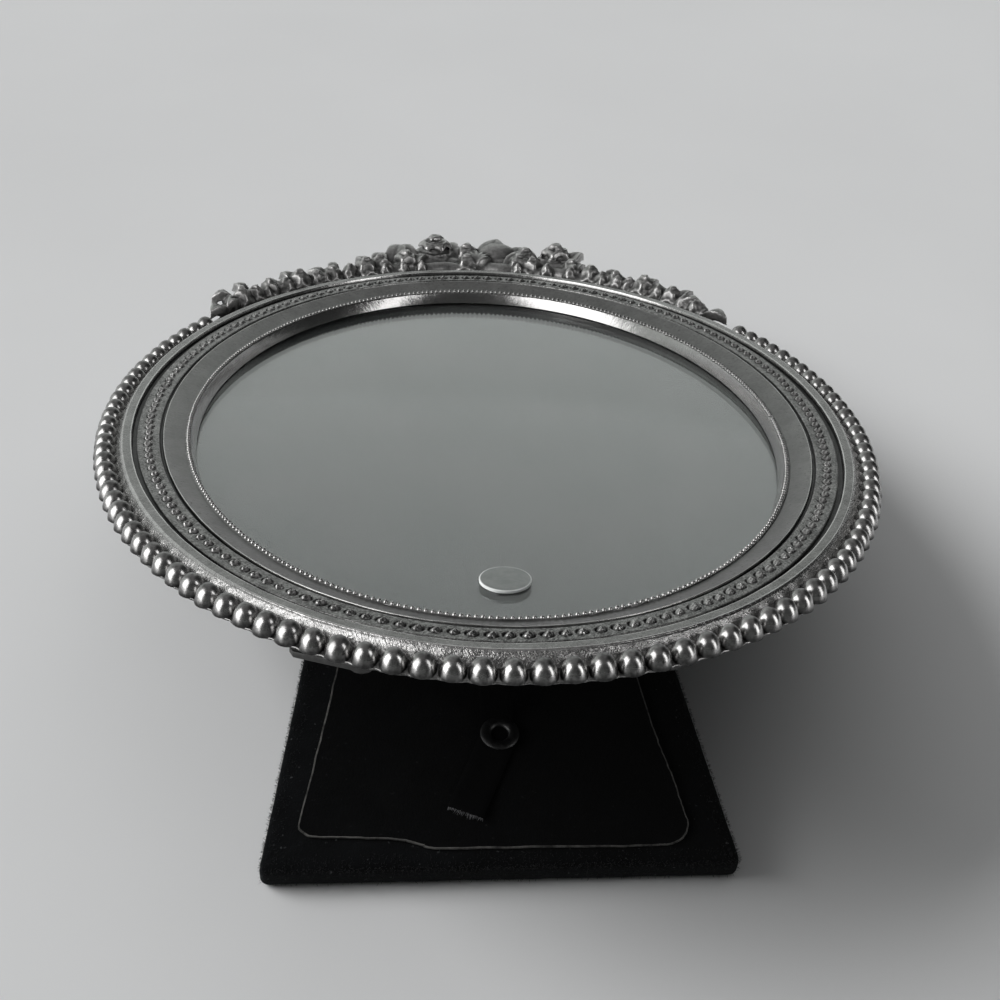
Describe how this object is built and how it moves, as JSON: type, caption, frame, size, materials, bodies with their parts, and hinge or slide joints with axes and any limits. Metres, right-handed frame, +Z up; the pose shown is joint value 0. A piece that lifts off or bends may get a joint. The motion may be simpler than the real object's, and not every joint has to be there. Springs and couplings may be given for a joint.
{
  "type": "oval picture frame",
  "caption": "Oval cast metal picture frame with a beaded border and flower crest, glass, a velvet covered back held by turn buttons, and a hinged easel leg with a stay ribbon.",
  "frame": {"origin": "middle of the underside of the box round the part, on the surface that it lies on", "axes": "+X across the oval, +Y along the surface from the foot of the leg towards the crest, +Z up"},
  "size_m": [0.1564, 0.2168, 0.067],
  "materials": {
    "cast_pewter": "satin antiqued pewter, darker in the recesses and bright on the edges",
    "crest_pewter": "antiqued pewter, dark in the hollows",
    "glass": "clear polished float glass",
    "clear_dot": "soft milky clear plastic",
    "black_card": "matt black card",
    "hardboard": "plain hardboard",
    "black_velvet": "short pile black velvet",
    "black_lining": "black velvet paper with a pale cut edge",
    "plated_steel": "dull zinc plated steel",
    "black_metal": "black enamelled steel",
    "black_ribbon": "black satin ribbon"
  },
  "bodies": {
    "frame": {"frame_casting": "cast_pewter", "crest_casting": "crest_pewter", "glass_pane": "glass", "glass_dot": "clear_dot", "photo_insert": "black_card", "back_board": "hardboard", "back_velvet": "black_velvet", "turn_button_screw_lower_left": "plated_steel", "turn_button_screw_lower_right": "plated_steel", "turn_button_screw_upper_left": "plated_steel", "turn_button_screw_upper_right": "plated_steel", "hinge_back_leaf": "black_metal", "hinge_pin": "black_metal", "hinge_back_rivet_left": "black_metal", "hinge_back_rivet_right": "black_metal", "strap_back_eyelet": "black_metal", "strap_ribbon": "black_ribbon"},
    "leg": {"leg_board": "hardboard", "leg_velvet": "black_velvet", "leg_lining": "black_lining", "hinge_leg_leaf": "black_metal", "hinge_leg_rivet_left": "black_metal", "hinge_leg_rivet_right": "black_metal", "strap_leg_eyelet": "black_metal"},
    "button_lower_left": {"turn_button_lower_left": "plated_steel"},
    "button_lower_right": {"turn_button_lower_right": "plated_steel"},
    "button_upper_left": {"turn_button_upper_left": "plated_steel"},
    "button_upper_right": {"turn_button_upper_right": "plated_steel"}
  },
  "joints": [
    {"name": "leg_hinge", "type": "hinge", "parent": "frame", "child": "leg", "pos_m": [0, 0.02133, 0.01823], "axis": [1, 0, 0], "range_deg": [-19.5, 0], "deforming": ["strap_ribbon"]},
    {"name": "button_lower_left_turn", "type": "hinge", "parent": "frame", "child": "button_lower_left", "pos_m": [-0.02506, -0.09114, 0.05193], "axis": [0, 0.2793, 0.9602], "continuous": true},
    {"name": "button_lower_right_turn", "type": "hinge", "parent": "frame", "child": "button_lower_right", "pos_m": [0.02506, -0.09114, 0.05193], "axis": [0, 0.2793, 0.9602], "continuous": true},
    {"name": "button_upper_left_turn", "type": "hinge", "parent": "frame", "child": "button_upper_left", "pos_m": [-0.02506, 0.06903, 0.00534], "axis": [0, 0.2793, 0.9602], "continuous": true},
    {"name": "button_upper_right_turn", "type": "hinge", "parent": "frame", "child": "button_upper_right", "pos_m": [0.02506, 0.06903, 0.00534], "axis": [0, 0.2793, 0.9602], "continuous": true}
  ]
}
